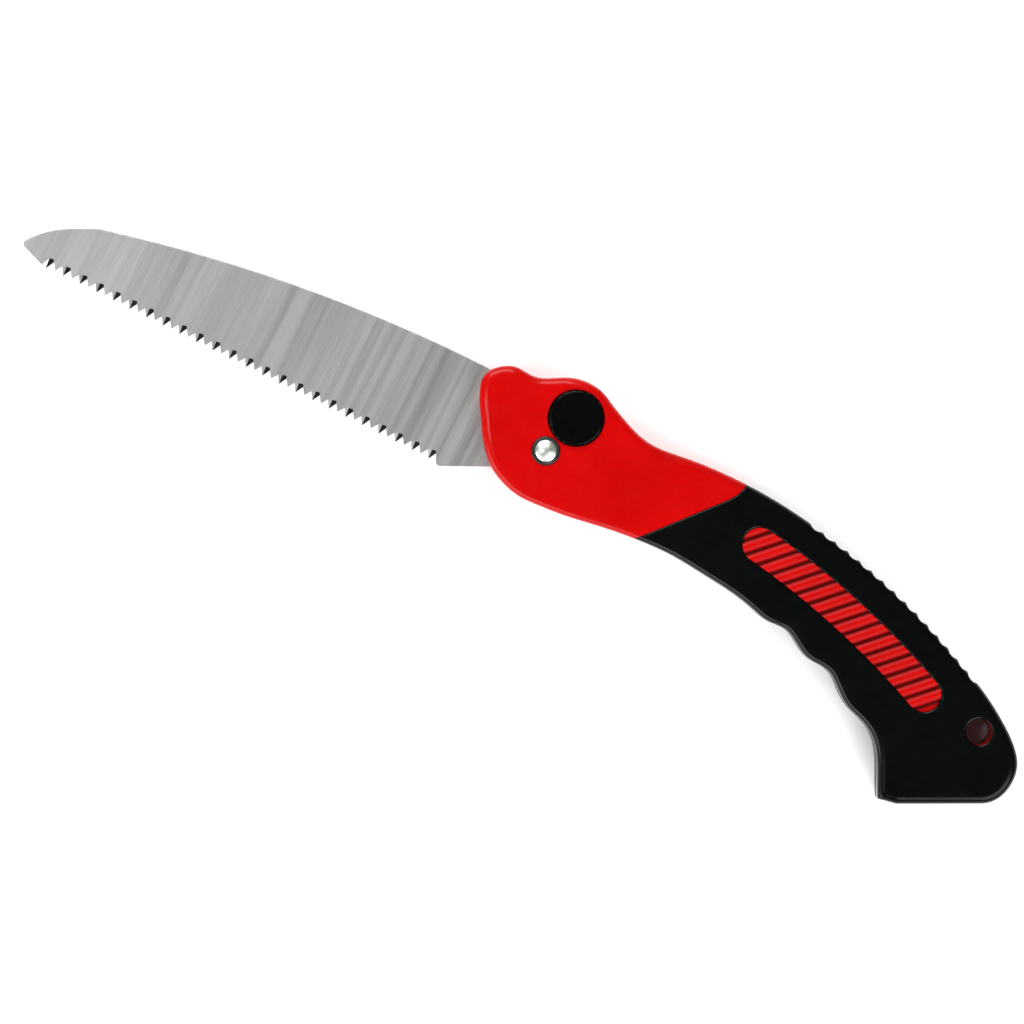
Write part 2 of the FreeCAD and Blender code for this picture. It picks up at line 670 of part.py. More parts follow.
def tang_curves(start, end):
    """Round the tang: open notch, rim, folded notch and lower shoulder."""
    lock_angle = math.degrees(math.atan2(size("lock_y"), size("lock_x")))
    reach = math.hypot(size("lock_x"), size("lock_y"))
    rim = size("tang_radius")
    shoulder = size("shoulder_radius")
    rim_turn = meeting_angle(rim)
    shoulder_turn = meeting_angle(shoulder)
    folded_angle = lock_angle - size("fold_angle")
    open_axis = polar(reach, lock_angle)
    folded_axis = polar(reach, folded_angle)
    notch_left = open_axis[0] - math.sqrt(size("notch_radius") ** 2
                                          - (SHOULDER_TOP - open_axis[1]) ** 2)
    mouth = (notch_left, SHOULDER_TOP)
    rim_start = polar(rim, lock_angle - rim_turn)
    rim_end = polar(rim, folded_angle + rim_turn)
    lower = polar(shoulder, folded_angle - shoulder_turn)
    end_angle = math.degrees(math.atan2(end[1], end[0]))
    lower_end = polar(shoulder, end_angle)
    lower_middle = polar(shoulder, (folded_angle - shoulder_turn + end_angle) / 2)
    return (chain([start, mouth])
            + [arc(mouth, polar(size("notch_radius"), lock_angle + 180, open_axis), rim_start),
               arc(rim_start, polar(rim, lock_angle - size("fold_angle") / 2), rim_end),
               arc(rim_end, polar(size("notch_radius"), folded_angle + 180, folded_axis), lower),
               arc(lower, lower_middle, lower_end)]
            + chain([lower_end, end]))


teeth = tooth_points()
spine_slope = (2.0, spine_point(SPINE_START + 1)[1] - spine_point(SPINE_START - 1)[1])
blade_curves = (
    [arc(spine_point(SPINE_START), spine_point((SPINE_START + SPINE_END) / 2),
         spine_point(SPINE_END))]
    + tang_curves(spine_point(SPINE_END), RICASSO_END)
    + chain([RICASSO_END, RICASSO_ROUND[2]])
    + [arc(*reversed(RICASSO_ROUND))]
    + chain([RICASSO_ROUND[0]] + teeth[::-1] + [TIP_CORNER, TIP_NOSE[2]])
    + [arc(*reversed(TIP_NOSE)),
       spline([TIP_NOSE[0]] + TIP_TOP + [spine_point(SPINE_START)], end=spine_slope)]
    + [circle(size("eye_radius"))])
blade = doc.addObject("PartDesign::Body", "blade_body")
blade_sketch = body_sketch(blade, "blade_outline", "XY_Plane", blade_curves)
blade_pad = blade.newObject("PartDesign::Pad", "blade_plate")
blade_pad.Profile = blade_sketch
bind(blade_pad, {"Length": "sizes.blade_thick"})
blade.Tip = blade_pad
finish(blade, "saw_blade")
bind(blade, {"Placement.Base.z": "sizes.middle - sizes.blade_thick / 2"})

# ---------------------------------------------------------------- pivot

slot_floor = "sizes.middle - sizes.slot_wide / 2"
slot_roof = "sizes.middle + sizes.slot_wide / 2"
ring("pivot_sleeve", "sleeve_radius", "bolt_bore", "sizes.sleeve_bottom", "sizes.sleeve_long")
ring("front_thrust_washer", "thrust_radius", "eye_radius", slot_roof + " - sizes.thrust_thick",
     "sizes.thrust_thick")
ring("rear_thrust_washer", "thrust_radius", "eye_radius", slot_floor, "sizes.thrust_thick")
ring("pivot_rear_washer", "nut_washer_radius", "bolt_bore",
     "sizes.nut_seat - sizes.nut_washer_thick", "sizes.nut_washer_thick")

head = size("bolt_head_radius")
shank = size("shank_radius")
seat = size("bolt_head_seat")
crown = seat + size("bolt_head_tall")
brim = seat + BRIM
foot = size("bolt_end")
dome = (head ** 2 + (crown - brim) ** 2) / (2 * (crown - brim))
dome_half = math.degrees(math.asin(head / dome)) / 2
bolt_curves = (
    chain([(0.0, crown), (0.0, foot), (shank - BEVEL, foot), (shank, foot + BEVEL),
           (shank, seat), (head, seat), (head, brim)])
    + [arc((head, brim), polar(dome, 90 - dome_half, (0.0, crown - dome)), (0.0, crown))])
revolved("pivot_bolt", bolt_curves)

collar = size("collar_radius")
collar_seat = size("collar_seat")
lip = size("collar_top")
bore = size("bolt_bore")
lip_inside = head + BEVEL / 2
lip_round = (collar - lip_inside) / 2
collar_curves = (
    chain([(bore, collar_seat), (collar, collar_seat), (collar, lip - lip_round)])
    + [arc((collar, lip - lip_round), (collar - lip_round, lip), (lip_inside, lip - lip_round))]
    + chain([(lip_inside, lip - lip_round), (lip_inside, seat), (bore, seat),
             (bore, collar_seat)]))
revolved("pivot_collar", collar_curves)

nut_level = "sizes.nut_seat - sizes.nut_washer_thick - sizes.nut_thick"
nut_hex = doc.addObject("Part::Prism", "nut_hex")
nut_hex.Polygon = 6
bind(nut_hex, {"Circumradius": "sizes.nut_corner", "Height": "sizes.nut_thick",
               "Placement.Base.z": nut_level})
nut = cut("nut", nut_hex, [cylinder("nut_bore", "sizes.bolt_bore", nut_level,
                                    "sizes.nut_thick")])
finish(nut, "pivot_nut")

# ---------------------------------------------------------------- lock spring and screws

leaf = leaf_strip("leaf", "sizes.leaf_wide", str(leaf_run), "sizes.leaf_bottom",
                  "sizes.leaf_thick")
leaf_nose = at_lock("leaf_nose", "sizes.stud_radius", "sizes.leaf_bottom", "sizes.leaf_thick")
leaf_tail = cylinder("leaf_tail", "sizes.leaf_wide / 2", "sizes.leaf_bottom",
                     "sizes.leaf_thick", "sizes.anchor_x", "sizes.anchor_y")
stud = at_lock("stud", "sizes.stud_radius", "sizes.leaf_bottom",
               "sizes.stud_top - sizes.leaf_bottom")
lock_spring = cut("lock_spring_cut", fused("leaf_and_stud", [leaf, leaf_nose, leaf_tail, stud]), [
    cylinder("leaf_hole", "sizes.screw_bore", "sizes.leaf_bottom", "sizes.leaf_thick",
             "sizes.anchor_x", "sizes.anchor_y")])
finish(lock_spring, "lock_spring")


def screw_curves(tip_level, seat_level, head_level):
    """Pan-headed screw: its head from one level to the other, its point at the tip."""
    side = size("screw_radius")
    rim = size("screw_head_radius")
    way = 1 if tip_level > seat_level else -1
    drive_floor = head_level + way * DRIVE
    edge_level = head_level + way * HEAD_ROUND
    flat = rim - HEAD_ROUND
    return (chain([(0.0, tip_level), (0.0, drive_floor), (DRIVE, drive_floor),
                   (DRIVE, head_level), (flat, head_level)])
            + [arc((flat, head_level), polar(HEAD_ROUND, -45 * way, (flat, edge_level)),
                   (rim, edge_level))]
            + chain([(rim, edge_level), (rim, seat_level), (side, seat_level),
                     (side, tip_level - way * SCREW_POINT), (0.0, tip_level)]))


leaf_top = size("leaf_bottom") + size("leaf_thick")
revolved("lock_spring_screw",
         screw_curves(size("leaf_screw_tip"), leaf_top, leaf_top + size("leaf_head_tall")),
         "sizes.anchor_x", "sizes.anchor_y")

screw_section = Part.Wire([curve.toShape() for curve in screw_curves(
    size("screw_tip"), size("screw_seat"), size("screw_seat") - size("screw_head_tall"))])
screw_section.rotate(FreeCAD.Vector(0, 0, 0), FreeCAD.Vector(1, 0, 0), 90)
one_screw = Part.Face(screw_section).revolve(FreeCAD.Vector(0, 0, 0), FreeCAD.Vector(0, 0, 1), 360)
case_screws = doc.addObject("Part::Feature", "case_screws_group")
case_screws.Shape = Part.makeCompound([one_screw.translated(place)
                                       for place in vectors(CASE_SCREWS)])
finish(case_screws, "case_screws")

# ---------------------------------------------------------------- lock button

cap = doc.addObject("PartDesign::Body", "cap_body")
cap_sketch = body_sketch(cap, "cap_circle", "XY_Plane", [circle(size("cap_radius"))])
cap_sketch.addConstraint(Sketcher.Constraint("Coincident", 0, 3, -1, 1))
cap_sketch.addConstraint(Sketcher.Constraint("Radius", 0, size("cap_radius")))
bind(cap_sketch, {"Constraints[1]": "sizes.cap_radius"})
cap_pad = cap.newObject("PartDesign::Pad", "cap_disc")
cap_pad.Profile = cap_sketch
bind(cap_pad, {"Length": "sizes.cap_tall"})
doc.recompute()
cap_rim = cap.newObject("PartDesign::Fillet", "cap_rounding")
cap_rim.Base = (cap_pad, [f"Edge{number}" for number in edges_at(cap_pad, size("cap_tall"))])
bind(cap_rim, {"Radius": "sizes.cap_round"})
doc.recompute()
lobe_sketch = body_sketch(cap, "lobe_circle", "XY_Plane",
                          [circle(size("lobe_radius"), size("lobe_circle"))])
lobe = cap.newObject("PartDesign::Pocket", "lobe_cut")
lobe.Profile = lobe_sketch
lobe.Type = "ThroughAll"
lobe.Reversed = True
doc.recompute()
lobes = cap.newObject("PartDesign::PolarPattern", "lobe_ring")
lobes.Originals = [lobe]
lobes.Axis = (cap_sketch, ["N_Axis"])
lobes.Angle = 360
bind(lobes, {"Occurrences": "sizes.cap_lobes"})
cap.Tip = lobes
finish(cap, "button_cap")
bind(cap, {"Placement.Base.x": "sizes.shift_x + sizes.lock_x",
           "Placement.Base.y": "sizes.shift_y + sizes.lock_y",
           "Placement.Base.z": "sizes.cap_bottom"})

stem = size("stem_radius")
pin = size("pin_radius")
stem_top = size("cap_bottom")
step = size("clip_roof") - size("snug_gap")
pin_end = size("pin_bottom")
stem_curves = chain([
    (0.0, stem_top), (0.0, pin_end), (pin - BEVEL, pin_end), (pin, pin_end + BEVEL), (pin, step),
    (stem, step), (stem, stem_top), (0.0, stem_top)])
revolved("button_stem", stem_curves, "sizes.lock_x", "sizes.lock_y")
ring("button_clip", "clip_radius", "pin_radius",
     "sizes.clip_roof - sizes.snug_gap - sizes.clip_thick", "sizes.clip_thick",
     "sizes.lock_x", "sizes.lock_y")

# ---------------------------------------------------------------- checks and files

doc.recompute()
for item in doc.Objects:
    if "Invalid" in item.State or "Error" in item.State:
        raise SystemExit(f"{item.Name} did not rebuild: {item.State}")
for item in PIECES:
    if item.Shape.isNull() or not item.Shape.isValid():
        raise SystemExit(f"{item.Label} has no valid shape")

os.makedirs("parts", exist_ok=True)
for item in PIECES:
    item.Shape.exportStep(os.path.join("parts", item.Label + ".step"))
    solids = item.Shape.Solids
    print(f"{item.Label:22s} {len(solids)} solid(s) {item.Shape.Volume:10.1f} mm3")
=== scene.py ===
"""Looks of the folding pruning saw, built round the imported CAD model. Lengths are metres."""
import json
import math

import bmesh
import bpy
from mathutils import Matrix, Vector
from mathutils.geometry import tessellate_polygon


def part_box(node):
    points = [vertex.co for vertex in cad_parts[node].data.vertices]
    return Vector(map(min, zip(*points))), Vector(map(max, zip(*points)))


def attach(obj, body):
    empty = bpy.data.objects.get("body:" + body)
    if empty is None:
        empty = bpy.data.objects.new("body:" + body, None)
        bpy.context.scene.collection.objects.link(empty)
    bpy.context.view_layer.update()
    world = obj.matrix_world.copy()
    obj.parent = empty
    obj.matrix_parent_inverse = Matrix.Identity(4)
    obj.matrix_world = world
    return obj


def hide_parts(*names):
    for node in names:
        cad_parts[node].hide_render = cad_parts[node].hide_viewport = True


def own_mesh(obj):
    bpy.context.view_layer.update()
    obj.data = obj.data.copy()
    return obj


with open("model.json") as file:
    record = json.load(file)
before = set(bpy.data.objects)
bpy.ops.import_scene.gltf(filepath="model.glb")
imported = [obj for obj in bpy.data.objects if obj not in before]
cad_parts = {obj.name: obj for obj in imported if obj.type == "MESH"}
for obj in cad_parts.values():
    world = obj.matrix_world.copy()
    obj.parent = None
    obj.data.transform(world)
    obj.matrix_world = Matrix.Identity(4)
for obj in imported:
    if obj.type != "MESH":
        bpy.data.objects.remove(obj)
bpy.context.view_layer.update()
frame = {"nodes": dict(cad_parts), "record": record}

MM = 0.001
NODES = frame["nodes"]
# Ribs of the inlay: the direction square to them, their spacing and the top of the middle one.
RIB_WAY = Vector((1.0, -1.0, 0.0)).normalized()
RIB_PITCH = 4.85 * MM
RIB_MIDDLE = Vector((122.85 * MM, 10.92 * MM, 0.0))
# Painted shade across each rib: full colour on its top, darkening to near black in the groove.
RIB_PAINTED_SHADE = [(0.24, (1.0, 1.0, 1.0)), (0.37, (0.5, 0.5, 0.5)), (0.48, (0.08, 0.08, 0.08))]


# ---------------------------------------------------------------- stage

def place_camera():
    """Straight above the saw, turned so that the blade rises to the upper left."""
    turn = math.radians(26.58)
    distance = 2.0
    handle_top = 0.02
    middle = (-1.7 * MM, -10.4 * MM)
    seen_width = 0.3722
    sensor = 36.0
    lens_data = bpy.data.cameras.new("camera")
    lens_data.sensor_width = sensor
    lens_data.lens = sensor * distance / seen_width
    lens_data.clip_end = 10.0
    camera = bpy.data.objects.new("camera", lens_data)
    camera.location = (*middle, distance + handle_top)
    camera.rotation_euler = (0.0, 0.0, turn)
    bpy.context.collection.objects.link(camera)
    bpy.context.scene.camera = camera


def place_light(name, place, width, height, power):
    """A soft rectangular lamp aimed at the origin."""
    data = bpy.data.lights.new(name, "AREA")
    data.shape = "RECTANGLE"
    data.size = width
    data.size_y = height
    data.energy = power
    lamp = bpy.data.objects.new(name, data)
    lamp.location = place
    lamp.rotation_euler = (-Vector(place)).to_track_quat("-Z", "Y").to_euler()
    bpy.context.collection.objects.link(lamp)


def place_world():
    """Even pale surroundings, shown in true colours so that the floor comes out white."""
    world = bpy.data.worlds.new("studio")
    world.use_nodes = True
    background = world.node_tree.nodes["Background"]
    background.inputs["Color"].default_value = (1.0, 1.0, 1.0, 1.0)
    background.inputs["Strength"].default_value = 0.16
    bpy.context.scene.world = world
    bpy.context.scene.view_settings.view_transform = "Standard"


def place_floor():
    """A wide pale floor, a little under the saw so that the two never share a plane."""
    half = 3.0
    gap = 0.2 * MM
    mesh = bpy.data.meshes.new("floor")
    mesh.from_pydata([(-half, -half, 0), (half, -half, 0), (half, half, 0), (-half, half, 0)],
                     [], [(0, 1, 2, 3)])
    floor = bpy.data.objects.new("floor", mesh)
    floor.location.z = -gap
    bpy.context.collection.objects.link(floor)
    floor.data.materials.append(floor_material())


# ---------------------------------------------------------------- material helpers

# Places of the colour sockets on a Mix node.
MIX_FIRST = 6
MIX_SECOND = 7
MIX_RESULT = 2


class Look:
    """A Principled material with its node tree, and short calls to wire it up."""

    def __init__(self, name, **values):
        self.material = bpy.data.materials.new(name)
        self.material.use_nodes = True
        self.tree = self.material.node_tree
        self.shader = self.tree.nodes["Principled BSDF"]
        for socket, number in values.items():
            self.shader.inputs[socket.replace("_", " ")].default_value = number
        self.place = self.tree.nodes.new("ShaderNodeTexCoord").outputs["Object"]

    def node(self, kind, inputs=None, **settings):
        made = self.tree.nodes.new("ShaderNode" + kind)
        for key, setting in settings.items():
            setattr(made, key, setting)
        for key, source in (inputs or {}).items():
            if isinstance(source, bpy.types.NodeSocket):
                self.tree.links.new(source, made.inputs[key])
            else:
                made.inputs[key].default_value = source
        return made

    def link(self, source, socket):
        self.tree.links.new(source, self.shader.inputs[socket])

    def stretched(self, scale, turn=0.0):
        """Object place, turned about Z and scaled, to draw a pattern out in one direction."""
        return self.node("Mapping", {"Vector": self.place, "Rotation": (0.0, 0.0, turn),
                                     "Scale": scale}).outputs["Vector"]

    def noise(self, scale, detail=2.0, rough=0.5, vector=None):
        return self.node("TexNoise", {"Vector": vector or self.place, "Scale": scale,
                                      "Detail": detail, "Roughness": rough}).outputs["Fac"]

    def between(self, factor, low, high, start=0.3, end=0.7):
        """Maps a factor onto a range of numbers."""
        return self.node("MapRange", {"Value": factor, "From Min": start, "From Max": end,
                                      "To Min": low, "To Max": high}).outputs["Result"]

    def ramp(self, factor, stops):
        ramp = self.node("ValToRGB", {"Fac": factor})
        marks = ramp.color_ramp.elements
        while len(marks) < len(stops):
            marks.new(0.5)
        for mark, (position, color) in zip(marks, stops):
            mark.position = position
            mark.color = (*color, 1.0)
        return ramp.outputs["Color"]

    def bump(self, height, strength, distance, under=None):
        inputs = {"Height": height, "Strength": strength, "Distance": distance}
        if under:
            inputs["Normal"] = under
        return self.node("Bump", inputs).outputs["Normal"]

    def times(self, first, second):
        """Multiplies two colours. The Mix node's colour sockets can only be told by number."""
        mixed = self.node("Mix", {"Factor": 1.0}, data_type="RGBA", blend_type="MULTIPLY")
        self.tree.links.new(first, mixed.inputs[MIX_FIRST])
        self.tree.links.new(second, mixed.inputs[MIX_SECOND])
        return mixed.outputs[MIX_RESULT]


def floor_material():
    look = Look("floor_paper", Roughness=0.9)
    look.shader.inputs["Specular IOR Level"].default_value = 0.1
    look.link(look.ramp(look.noise(3.0), [(0.3, (0.93, 0.93, 0.93)), (0.7, (0.95, 0.95, 0.95))]),
              "Base Color")
    return look.material


def red_plastic(name, rough, coat, painted_groove_shade=None):
    """Glossy moulded plastic: faint flow marks and fine spark texture, with painted shade
    multiplied into the grooves when a groove shade is given.
    """
    look = Look(name)
    look.shader.inputs["Specular IOR Level"].default_value = 0.07
    look.shader.inputs["Coat Weight"].default_value = coat
    look.shader.inputs["Coat Roughness"].default_value = 0.10
    flow = look.noise(38.0, 3.0)
    fleck = look.noise(900.0, 3.0)
    tone = look.ramp(flow, [(0.3, (0.36, 0.0002, 0.0002)), (0.5, (0.39, 0.0002, 0.0002)),
                            (0.7, (0.42, 0.0003, 0.0002))])
    worn = look.ramp(fleck, [(0.3, (0.88, 0.88, 0.88)), (0.7, (1.0, 1.0, 1.0))])
    color = look.times(tone, worn)
    # Painted shade in the grooves of the ribs, multiplied into the colour.
    if painted_groove_shade:
        color = look.times(color, painted_groove_shade(look))
    look.link(color, "Base Color")
    look.link(look.between(look.noise(160.0, 4.0), rough - 0.04, rough + 0.06), "Roughness")
    wave = look.bump(look.noise(90.0, 2.0), 0.10, 0.0002)
    look.link(look.bump(look.noise(5200.0, 2.0), 0.08, 0.00004, wave), "Normal")
    return look.material


def rib_groove_painted_shade(look):
    """Painted shade: darkens the grooves between the ribs of the inlay, where shade falls, and
    keeps the rib tops full colour.
    """
    across = RIB_WAY / RIB_PITCH
    along = look.node("VectorMath", {0: look.place, 1: across}, operation="DOT_PRODUCT")
    ribs = look.node("Math", {0: along.outputs["Value"], 1: RIB_MIDDLE.dot(across)},
                     operation="SUBTRACT")
    from_top = look.node("Math", {0: ribs.outputs[0], 1: 0.5}, operation="PINGPONG")
    return look.ramp(from_top.outputs[0], RIB_PAINTED_SHADE)


def grip_rubber():
    """Black thermoplastic rubber: satin, with a fine pebbled grain and a trace of green."""
    look = Look("grip_rubber")
    look.shader.inputs["Specular IOR Level"].default_value = 0.12
    look.link(look.ramp(look.noise(60.0, 4.0), [(0.3, (0.0006, 0.0009, 0.0009)),
                                                (0.7, (0.0011, 0.0016, 0.0015))]),
              "Base Color")
    look.link(look.between(look.noise(220.0, 4.0), 0.20, 0.27), "Roughness")
    pebble = look.node("TexVoronoi", {"Vector": look.place, "Scale": 2600.0}).outputs["Distance"]
    soft = look.bump(look.noise(90.0, 2.0), 0.10, 0.0002)
    look.link(look.bump(pebble, 0.10, 0.00003, soft), "Normal")
    return look.material


def black_plastic():
    look = Look("button_plastic")
    look.shader.inputs["Specular IOR Level"].default_value = 0.08
    look.link(look.ramp(look.noise(140.0, 3.0), [(0.3, (0.0006, 0.0006, 0.0007)),
                                                 (0.7, (0.0011, 0.0011, 0.0012))]),
              "Base Color")
    look.link(look.between(look.noise(700.0, 3.0), 0.20, 0.28), "Roughness")
    look.link(look.bump(look.noise(4200.0, 2.0), 0.12, 0.00005), "Normal")
    return look.material


def ground_steel():
    """Saw plate: grinding lines across the blade, soft bands and a cloudy grey."""
    look = Look("blade_steel", Metallic=1.0)
    lean = math.radians(-9.0)
    fine = look.noise(1.0, 5.0, 0.65, look.stretched((2600.0, 22.0, 1.0), lean))
    coarse = look.noise(1.0, 3.0, 0.5, look.stretched((330.0, 5.0, 1.0), lean))
    band = look.noise(1.0, 2.0, 0.5, look.stretched((60.0, 9.0, 1.0), lean))
    lines = look.ramp(fine, [(0.3, (0.74, 0.74, 0.74)), (0.7, (1.0, 1.0, 1.0))])
    bands = look.ramp(coarse, [(0.3, (0.88, 0.885, 0.88)), (0.7, (1.0, 1.0, 1.0))])
    clouds = look.ramp(band, [(0.3, (0.42, 0.43, 0.42)), (0.7, (0.50, 0.51, 0.50))])
    look.link(look.times(look.times(clouds, bands), lines), "Base Color")
    look.link(look.between(coarse, 0.36, 0.44), "Roughness")
    look.link(look.bump(fine, 0.15, 0.00002), "Normal")
    return look.material


def hardened_steel():
    """Bevels of the teeth, blued almost black by hardening."""
    look = Look("hardened_steel", Metallic=1.0)
    tint = look.noise(900.0, 3.0)
    look.link(look.ramp(tint, [(0.3, (0.008, 0.011, 0.010)), (0.7, (0.030, 0.034, 0.032))]),
              "Base Color")
    look.link(look.between(look.noise(2500.0, 2.0), 0.32, 0.5), "Roughness")
    look.link(look.bump(look.noise(6000.0), 0.2, 0.00003), "Normal")
    return look.material


def plain_metal(name, low, high, rough, scale=900.0, metallic=1.0):
    """Small turned or stamped metal parts, with fine lines and slight staining."""
    look = Look(name, Metallic=metallic)
    look.link(look.ramp(look.noise(scale, 4.0), [(0.3, low), (0.7, high)]), "Base Color")
    look.link(look.between(look.noise(scale * 1.7, 3.0), rough - 0.06, rough + 0.08), "Roughness")
    look.link(look.bump(look.noise(scale * 4.0, 2.0), 0.08, 0.00003), "Normal")
    return look.material


def washer_nylon():
    look = Look("washer_nylon", Roughness=0.5)
    look.link(look.ramp(look.noise(300.0), [(0.3, (0.70, 0.68, 0.60)), (0.7, (0.80, 0.78, 0.70))]),
              "Base Color")
    look.link(look.bump(look.noise(3000.0), 0.1, 0.00004), "Normal")
    return look.material


MATERIALS = {
    "red_plastic": red_plastic("red_plastic", 0.30, 0.10),
    # The inlay's colour carries painted shade in the grooves between its ribs.
    "inlay_plastic": red_plastic("inlay_plastic", 0.42, 0.0, rib_groove_painted_shade),
    "grip_rubber": grip_rubber(),
    "button_plastic": black_plastic(),
    "blade_steel": ground_steel(),
    "bolt_chrome": plain_metal("bolt_chrome", (0.66, 0.71, 0.64), (0.76, 0.81, 0.73), 0.36),
    "black_steel": plain_metal("black_steel", (0.004, 0.004, 0.004), (0.010, 0.010, 0.010),
                               0.40, metallic=0.3),
    "zinc_steel": plain_metal("zinc_steel", (0.52, 0.52, 0.50), (0.68, 0.68, 0.64), 0.32),
    "spring_steel": plain_metal("spring_steel", (0.32, 0.32, 0.33), (0.44, 0.44, 0.45), 0.30),
    "washer_nylon": washer_nylon(),
}
HARDENED = hardened_steel()
SLOTS = {part["node"]: part["material_slot"] for part in frame["record"]["subparts"]}
BODIES = {node: body for body, group in frame["record"]["behaviour"]["bodies"].items()
          for node in group}


# ---------------------------------------------------------------- mesh helpers

# Corners nearer than WELD are one. A face is level when its normal's Z is beyond LEVEL, and two
# faces meet at a corner when their normals differ by more than CORNER.
WELD = 0.002 * MM
LEVEL = 0.9999
CORNER = math.radians(34.0)
# Size of the faces of a softened skin, and how often its edges are eased.
SKIN_GRID = 0.45 * MM
SKIN_ROUNDS = 3


def paint(piece, slot):
    piece.data.materials.clear()
    piece.data.materials.append(MATERIALS[slot])


def applied(piece):
    """Makes the modifiers' result the piece's own mesh."""
    bpy.context.view_layer.update()
    graph = bpy.context.evaluated_depsgraph_get()
    final = bpy.data.meshes.new_from_object(piece.evaluated_get(graph))
    piece.modifiers.clear()
    piece.data = final


def crisp(edge):
    """True where shading breaks: at corners, and where a level face meets a sloping one."""
    if len(edge.link_faces) != 2:
        return True
    first, second = [face.normal for face in edge.link_faces]
    one_is_level = (abs(first.z) > LEVEL) != (abs(second.z) > LEVEL)
    return one_is_level or first.angle(second) > CORNER


def stand_in(node, name):
    """A copy of a CAD node's mesh, welded and smoothly shaded, to be shown in its place."""
    bm = bmesh.new()
    bm.from_mesh(NODES[node].data)
    bmesh.ops.remove_doubles(bm, verts=bm.verts, dist=WELD)
    for face in bm.faces:
        face.smooth = True
    for edge in bm.edges:
        edge.smooth = not crisp(edge)
    mesh = bpy.data.meshes.new(name)
    bm.to_mesh(mesh)
    bm.free()
    piece = bpy.data.objects.new(name, mesh)
    bpy.context.collection.objects.link(piece)
    return piece


def settle(piece, node):
    """Gives a finished piece its body and hides the CAD node it stands for."""
    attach(piece, BODIES[node])
    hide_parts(node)


def softened(node, name):
    """Moulded skin: the CAD shape on an even grid of faces with its sharp edges eased."""
    piece = stand_in(node, name)
    remesh = piece.modifiers.new("grid", "REMESH")
    remesh.mode = "VOXEL"
    remesh.voxel_size = SKIN_GRID
    remesh.adaptivity = 0.0
    ease = piece.modifiers.new("ease", "SMOOTH")
    ease.factor = 0.5
    ease.iterations = SKIN_ROUNDS
    applied(piece)
    piece.data.polygons.foreach_set("use_smooth", [True] * len(piece.data.polygons))
    paint(piece, SLOTS[node])
    settle(piece, node)


# ---------------------------------------------------------------- saw blade

# Teeth are ground from the front and the back by turns: how thin the tip is left, and the two
# upper corners of its facets, along from its tip and up from the gullet on its right.
TIP_THICK = 0.2 * MM
FACET_LEFT = (-0.3 * MM, 0.6 * MM)
FACET_RIGHT = (1.3 * MM, 0.9 * MM)
# A tooth's tip is at least TOOTH_RISE below the gullet on its right, and within TOOTH_REACH.
TOOTH_RISE = 2.0 * MM
TOOTH_REACH = 3.0 * MM
# Bevel of the spine: its width, its depth, where it stops at the handle, and how far a stretch
# of the rim must run towards the point to be spine.
SPINE_BEVEL = 0.35 * MM
BEVEL_DEEP = 0.3 * MM
HEAD_FRONT = -31.0 * MM
SPINE_RUN = 0.3
UPWARDS = 0.9


def rims(node):
    """Closed rims of a plate's upper face, the longest first, as lists of (x, y)."""
    bm = bmesh.new()
    bm.from_mesh(NODES[node].data)
    bmesh.ops.remove_doubles(bm, verts=bm.verts, dist=WELD)
    after = {}
    for edge in bm.edges:
        flat = [face for face in edge.link_faces if face.normal.z > UPWARDS]
        if len(flat) == 1:
            start = next(loop for loop in flat[0].loops if loop.edge == edge)
            after[start.vert] = start.link_loop_next.vert
    found = []
    while after:
        vert = next(iter(after))
        rim = []
        while vert in after:
            rim.append((vert.co.x, vert.co.y))
            vert = after.pop(vert)
        found.append(rim)
    bm.free()
    return sorted(found, key=len, reverse=True)


def tooth_tips(rim):
    """Places in the rim of the teeth's tips, from the blade's point towards the handle."""
    found = []
    for k, (x, y) in enumerate(rim):
        before_x, before_y = rim[k - 1]
        gullet_x, gullet_y = rim[(k + 1) % len(rim)]
        if before_y > y and gullet_y > y + TOOTH_RISE and 0 < gullet_x - x < TOOTH_REACH:
            found.append(k)
    return sorted(found, key=lambda k: rim[k][0])


def spine_insets(rim):
    """Where the bevel of the spine meets the plate, for the rim's places that have it."""
    inner = {}
    for k, (x, y) in enumerate(rim):
        before = Vector(rim[k - 1])
        after = Vector(rim[(k + 1) % len(rim)])
        run = (after - before).normalized()
        if -run.x > SPINE_RUN and x < HEAD_FRONT:
            inner[k] = (x - SPINE_BEVEL * run.y, y + SPINE_BEVEL * run.x)
    return inner


